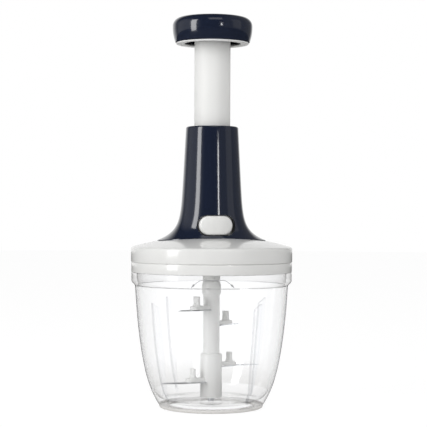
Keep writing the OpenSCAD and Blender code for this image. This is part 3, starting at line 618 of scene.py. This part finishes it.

# ---------------------------------------------------------------- return spring
# A long wire spring stands in the tube between the cap on the bar and the tube's closed end. Its
# end turns lie flat.
spring_low = 212.2
spring_high = 294.5
spring_r = 10.2
wire_r = 0.6
spring_turns = 12
flat_turns = 0.8
steps_a_turn = 32
wire_sides = 10

spring_loops = []
for k in range(spring_turns * steps_a_turn + 1):
    turns = k / steps_a_turn
    a = 2 * math.pi * turns
    share = min(max((turns - flat_turns) / (spring_turns - 2 * flat_turns), 0), 1)
    flat = min(turns, flat_turns) + max(turns - spring_turns + flat_turns, 0)
    middle_z = spring_low + 0.64 * wire_r + 2 * wire_r * flat
    middle_z += (spring_high - spring_low - 5.2 * wire_r) * share
    loop = []
    for b in range(wire_sides):
        around = 2 * math.pi * b / wire_sides
        r = spring_r + wire_r * math.cos(around)
        loop.append(Vector((r * math.cos(a), r * math.sin(a), middle_z + wire_r * math.sin(around))) / 1000)
    spring_loops.append(loop)
spring = skinned(spring_loops)
coil = piece(spring, "return_spring_wire", "plunger", ["return_spring"])
coil.data.materials.append(plain_steel)
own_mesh(coil)

# ---------------------------------------------------------------- lid
# The domed cover and the inner lid are glossy white mouldings, screwed together from below. The
# cover's collar goes down over the bowl's rim under a fine groove, and the inner lid's lugs turn
# in under the bowl's tabs.
lid_r = 62.6
lid_z = 112.8
cover_in = 60.6
collar_z = 104.8
collar_r = 62.3
groove_r = 61.7
groove_h = 0.4
dome_top = 133.0
dome_ball = 224.3
dome_hole_r = 8.4
cover_t = 2
cover_edge = 2.2


def dome(r):
    """Height of the lid's dome at a radius."""
    return dome_top - dome_ball + math.sqrt(dome_ball * dome_ball - r * r)


cover_outline = [(cover_in, collar_z), (collar_r, collar_z), (collar_r, lid_z - groove_h)]
cover_outline += [(groove_r, lid_z - groove_h), (groove_r, lid_z), (lid_r, lid_z)]
cover_outline += arc((lid_r - cover_edge, dome(lid_r - cover_edge) - 2.25), cover_edge, 0, 75, 10)
cover_outline += [(r, dome(r)) for r in [60.7 - 2.0 * k for k in range(1, 27)]]
cover_outline += [(dome_hole_r, dome(dome_hole_r)), (dome_hole_r, dome(dome_hole_r) - cover_t)]
cover_outline += [(r, dome(r) - cover_t) for r in [dome_hole_r + 3.9 * k for k in range(1, 14)]]
cover_outline += [(cover_in, dome(cover_in) - 3.4)]
cover_solid = turned(softened(cover_outline, 0.3), 200)
cover = piece(cover_solid, "lid_cover_shell", "lid", ["lid_cover"])
lid_gloss = {"Coat Weight": 0.5, "Coat Roughness": 0.05}
white_plastic = moulded("white_plastic", (0.85, 0.85, 0.835), 0.22, lid_gloss, 0.02)
cover.data.materials.append(white_plastic)
dress(white_plastic, "lid_base")

# ---------------------------------------------------------------- housing
# The dark housing is a glossy shell. Its round column spreads into an oval foot that lies on the
# dome, and a slot in front lets the lock button slide. Screws from inside the lid hold it.
column_r = 20.3
column_foot_r = 24.95
flare_rx = 42.3
flare_ry = 28.0
flare_h = 6.8
case_top = 217.5
lip_z = 215.3
case_wall = 2.2
lip_r = 1.4
bore_r = 14.3
button_mid = 141.0
slot_left = -14.5
slot_right = 15.3
slot_h = 15.9
sides = 144


def case_ring(top, share, inset):
    """The shell's outline at a share of the way up to a height, as a place for every direction."""
    def place(a):
        foot_z = dome(math.hypot(flare_rx * math.cos(a), flare_ry * math.sin(a))) + 0.03
        height = (top - foot_z) * share
        spread = math.exp(-max(height + inset / 2 - 0.5, 0) / flare_h)
        r = column_r + (column_foot_r - column_r) * (1 - height / (case_top - foot_z)) - inset
        return Vector(((r + (flare_rx - column_foot_r) * spread) * math.cos(a),
                       (r + (flare_ry - column_foot_r) * spread) * math.sin(a), foot_z + height))
    return place


def round_ring(r, z):
    """A plain circle at one height."""
    return lambda a: Vector((r * math.cos(a), r * math.sin(a), z))


levels = [case_ring(case_top - lip_r, (k / 52) ** 2, 0) for k in range(53)]
for b in (15, 30, 45, 60, 75, 90):
    over = lip_r * math.sin(math.radians(b))
    levels.append(case_ring(case_top - lip_r + over, 1, lip_r * (1 - math.cos(math.radians(b)))))
levels += [round_ring(bore_r + 0.4, case_top), round_ring(bore_r, case_top - 0.4), round_ring(bore_r, lip_z)]
levels += [case_ring(lip_z, (1 - k / 36) ** 2, case_wall) for k in range(37)]
shell = bmesh.new()
first = bmesh.ops.create_circle(shell, segments=sides, radius=1, cap_ends=False)["verts"]
angles = [math.atan2(v.co.y, v.co.x) for v in first]
loop = first
for level in levels:
    if level is not levels[0]:
        edges = [e for e in shell.edges if e.verts[0] in set(loop) and e.verts[1] in set(loop)]
        grown = bmesh.ops.extrude_edge_only(shell, edges=edges)["geom"]
        step_up = {}
        for v in grown:
            if isinstance(v, bmesh.types.BMVert):
                partner = [e.other_vert(v) for e in v.link_edges if e.other_vert(v) in set(loop)][0]
                step_up[partner] = v
        loop = [step_up[v] for v in loop]
    for v, a in zip(loop, angles):
        v.co = level(a) / 1000
last_edges = [e for e in shell.edges if len(e.link_faces) < 2]
bmesh.ops.bridge_loops(shell, edges=last_edges)
bmesh.ops.recalc_face_normals(shell, faces=shell.faces)

slot_cut = block((slot_left, -40, button_mid - slot_h / 2), (slot_right, -10, button_mid + slot_h / 2))
rounded_edges(slot_cut, lambda a, b: abs(a.y - b.y) > 1, slot_h / 2 - 0.01, 16)
case = joined(shell, [slot_cut], "DIFFERENCE")
housing = piece(case, "housing_shell", "lid", ["housing"], sharp=40)
case_gloss = {"Coat Weight": 0.5, "Coat Roughness": 0.03}
navy_plastic = moulded("navy_plastic", (0.011, 0.016, 0.034), 0.13, case_gloss, 0.02)
housing.data.materials.append(navy_plastic)

# ---------------------------------------------------------------- lock button
# The white button is a slider. Its face follows the column and its edge is well rounded, and a
# wider plate behind the slot keeps it in the housing.
button_w = 26.0
button_h = 14.7
face_r = 26.55
back_r = 18.15
plate_t = 2.0
edge_r = 1.7
travel = 2.1


def pill_loop(inset, r, back=0.0):
    """The button's outline inset by a distance, on a cylinder of that radius or pushed back."""
    round_r = max(button_h / 2 - inset, 0.002)
    straight = (button_w - button_h) / 2
    line = arc((straight, button_mid), round_r, -90, 90, 20)
    line += [Vector((straight * (1 - k / 5), button_mid + round_r)) for k in range(1, 10)]
    line += arc((-straight, button_mid), round_r, 90, 270, 20)
    line += [Vector((straight * (k / 5 - 1), button_mid - round_r)) for k in range(1, 10)]
    return [(p.x / 1000, (back - math.sqrt(r * r - p.x * p.x)) / 1000, p.y / 1000) for p in line]


half = button_h / 2
rings = [pill_loop(half * (1 - k / 6), back_r + plate_t / 2) for k in range(7)]
for b in range(0, 91, 15):
    over = math.radians(b)
    rings.append(pill_loop(edge_r * (1 - math.cos(over)), face_r, edge_r * (1 - math.sin(over))))
rings += [pill_loop(edge_r + (half - edge_r) * k / 6, face_r) for k in range(1, 7)]
pill = skinned(rings, capped=False)
bmesh.ops.remove_doubles(pill, verts=pill.verts, dist=6e-6)
bmesh.ops.dissolve_degenerate(pill, edges=pill.edges, dist=1e-6)
bmesh.ops.recalc_face_normals(pill, faces=pill.faces)
plate_top = button_mid + half + 4
plate = sector(back_r + plate_t, back_r, button_mid - half, plate_top, -90, 118, 40)
bmesh.ops.translate(plate, verts=plate.verts, vec=(-travel / 2000, 0, 0))
button = piece(joined(pill, [plate]), "lock_button_face", "lock", ["lock_slider"], sharp=40)
button.data.materials.append(white_plastic)

# ---------------------------------------------------------------- plunger
# A white tube slides in the housing's bush. The hollow dark knob is screwed to its closed end,
# and a pale ring closes the knob's rim from below.
tube_r = 14.0
tube_in = 12.0
tube_low = 199.0
tube_top = 296.9
knob_z = 282.5
knob_top = 303.9
knob_r = 31.0
knob_rim_r = 29.0

tube_end = tube_top - 2.4
tube_outline = [(0, tube_end), (tube_in, tube_end), (tube_in, tube_low), (tube_r, tube_low)]
tube_outline += [(tube_r, tube_top), (0, tube_top)]
tube_solid = turned(softened(tube_outline, 0.3), 128)
tube = piece(tube_solid, "plunger_tube_white", "plunger", ["plunger_tube"])
tube_plastic = moulded("tube_plastic", (0.85, 0.85, 0.835), 0.5)
tube.data.materials.append(tube_plastic)

shoulder = 6.5
flat_r = knob_r - shoulder
crown_r = 160.0
rise = crown_r - math.sqrt(crown_r * crown_r - flat_r * flat_r)
sleeve_r = 17.0
knob_outline = [(0, tube_top), (tube_r, tube_top), (tube_r, knob_z + 5), (sleeve_r, knob_z + 5)]
knob_outline += [(sleeve_r, knob_z + 14)]
knob_outline += [(18, 298.9), (23.6, 297.0), (27.8, 291.5), (26.6, 284.5), (26.6, knob_z)]
knob_outline += [(knob_rim_r - 0.6, knob_z)]
for k in range(13):
    lean = (knob_r - knob_rim_r) * (1 - k / 12) ** 2
    knob_outline.append((knob_r - lean, knob_z + 0.6 + 11.4 * k / 12))
knob_outline += arc((flat_r, knob_top - rise - shoulder), shoulder, 0, 81.2, 16)
for k in range(1, 13):
    r = flat_r * (1 - k / 12)
    knob_outline.append((r, knob_top - crown_r + math.sqrt(crown_r * crown_r - r * r)))
knob_solid = turned(softened(knob_outline, 0.3), 160)
knob = piece(knob_solid, "knob_shell", "plunger", ["knob_cap"])
knob.data.materials.append(navy_plastic)

rim_in_r = 22.0
rim_low = knob_z - 0.8
rim_top = knob_z + 1.6
rim_outline = [(rim_in_r, rim_low), (28.0, rim_low), (28.4, knob_z - 0.02), (26.6, knob_z - 0.02)]
rim_outline += [(26.6, rim_top), (25.2, rim_top), (rim_in_r, knob_z)]
rim_solid = turned(softened(rim_outline, 0.25), 128)
rim = piece(rim_solid, "knob_rim_ring", "plunger", ["knob_ring"])
# The ring's white is lighter than the other white plastic: painted light on its shaded underside.
rim_painted_light_plastic = moulded("rim_painted_light_plastic", (0.95, 0.95, 0.94), 0.4)
rim.data.materials.append(rim_painted_light_plastic)

# ---------------------------------------------------------------- studio
# A pale floor under a white backdrop. A tall softbox stands at the left, a short strip and a
# broad panel at the right, and another panel hangs overhead. A fill lamp lifts the right side.
world = bpy.data.worlds.new("studio")
bpy.context.scene.world = world
world.use_nodes = True
wire = Wire(world.node_tree)
direction = wire.node("SeparateXYZ", {}, {0: wire.node("TexCoord", {}, {}, out=0)})
ahead = Wire(wire.tree, direction.socket.node.outputs[1])
to_left = ramp(direction, -0.6, -0.95, 0.02, 0.42, "SMOOTHSTEP")
to_right = ramp(direction, 0.1, 0.6, 0.0, 0.14, "SMOOTHSTEP")
to_back = ramp(ahead, 0.6, 0.97, 0.0, 0.95, "SMOOTHSTEP")
mirrored = wire.sum("MAXIMUM", to_left + to_right, to_back)
level = wire.node("Mix", {"data_type": "FLOAT"}, {0: rays(wire, "Is Glossy Ray"), 2: 0.5, 3: mirrored})
seen = rays(wire, "Is Camera Ray", "Is Transmission Ray")
level = wire.node("Mix", {"data_type": "FLOAT"}, {0: seen, 2: level, 3: 1.0})
sky = world.node_tree.nodes["Background"]
feed(level, sky.inputs["Strength"])
sky.inputs["Color"].default_value = (1, 1, 1, 1)

floor_r = 4
floor_drop = 0.0003
floor_bm = bmesh.new()
bmesh.ops.create_circle(floor_bm, cap_ends=True, segments=96, radius=floor_r)
bmesh.ops.translate(floor_bm, verts=floor_bm.verts, vec=(0, 0, -floor_drop))
floor_mesh = bpy.data.meshes.new("floor")
floor_bm.to_mesh(floor_mesh)
floor_bm.free()
floor = bpy.data.objects.new("floor", floor_mesh)
bpy.context.scene.collection.objects.link(floor)
pale_floor, sockets, wire = new_finish("pale_floor", (0.85, 0.85, 0.85), 0.7)
seen = rays(wire, "Is Camera Ray", "Is Transmission Ray")
refracted = rays(wire, "Is Transmission Ray")
mirrored = rays(wire, "Is Glossy Ray") * (1 - refracted)
glow = wire.node("Emission", {}, {"Color": (1, 1, 1, 1), "Strength": 1.12})
bright = wire.node("Emission", {}, {"Color": (1, 1, 1, 1), "Strength": 1.27})
dark = wire.node("BsdfDiffuse", {}, {"Color": (0, 0, 0, 1)})
lit = Wire(wire.tree, wire.tree.nodes["Principled BSDF"].outputs[0])
both = blended(seen * 0.8, lit, blended(refracted, glow, bright))
feed(blended(mirrored * 0.9, both, dark), wire.tree.nodes["Material Output"].inputs[0])
floor_mesh.materials.append(pale_floor)

camera_turn = 8
camera_distance = 1.07
camera_height = 0.1537
camera_aim = (89.81, -0.25, -8.07)


def softbox(name, azimuth, distance, height, width, tall, brightness, aim=0.16):
    """A lamp panel at an azimuth to the right of the camera, facing the object."""
    lamp = bpy.data.lights.new(name, "AREA")
    lamp.shape = "RECTANGLE"
    lamp.size = width
    lamp.size_y = tall
    lamp.energy = brightness * math.pi * width * tall
    thing = bpy.data.objects.new(name, lamp)
    angle = math.radians(azimuth - camera_turn)
    thing.location = (distance * math.sin(angle), -distance * math.cos(angle), height)
    thing.rotation_euler = (Vector((0, 0, aim)) - thing.location).to_track_quat("-Z", "Y").to_euler()
    bpy.context.scene.collection.objects.link(thing)
    return thing


softbox("softbox_left", -55.5, 1.4, 0.55, 0.43, 1.1, 5.8)
softbox("strip_right", 25.5, 1.6, 0.385, 0.11, 0.13, 14.0)
softbox("fill_right", 30, 1.6, 0.95, 0.3, 1.3, 3.3).visible_glossy = False
softbox("panel_right", 75, 1.8, 0.8, 1.0, 1.2, 0.25)
softbox("panel_top", 10, 1.2, 1.5, 1.0, 0.8, 1.0)

camera = bpy.data.cameras.new("camera")
camera.lens = 116
camera.sensor_width = 36
view = bpy.data.objects.new("camera", camera)
angle = math.radians(camera_turn)
view.location = (-camera_distance * math.sin(angle), -camera_distance * math.cos(angle), camera_height)
view.rotation_euler = [math.radians(a) for a in camera_aim]
bpy.context.scene.collection.objects.link(view)
bpy.context.scene.camera = view
bpy.context.scene.view_settings.view_transform = "Standard"
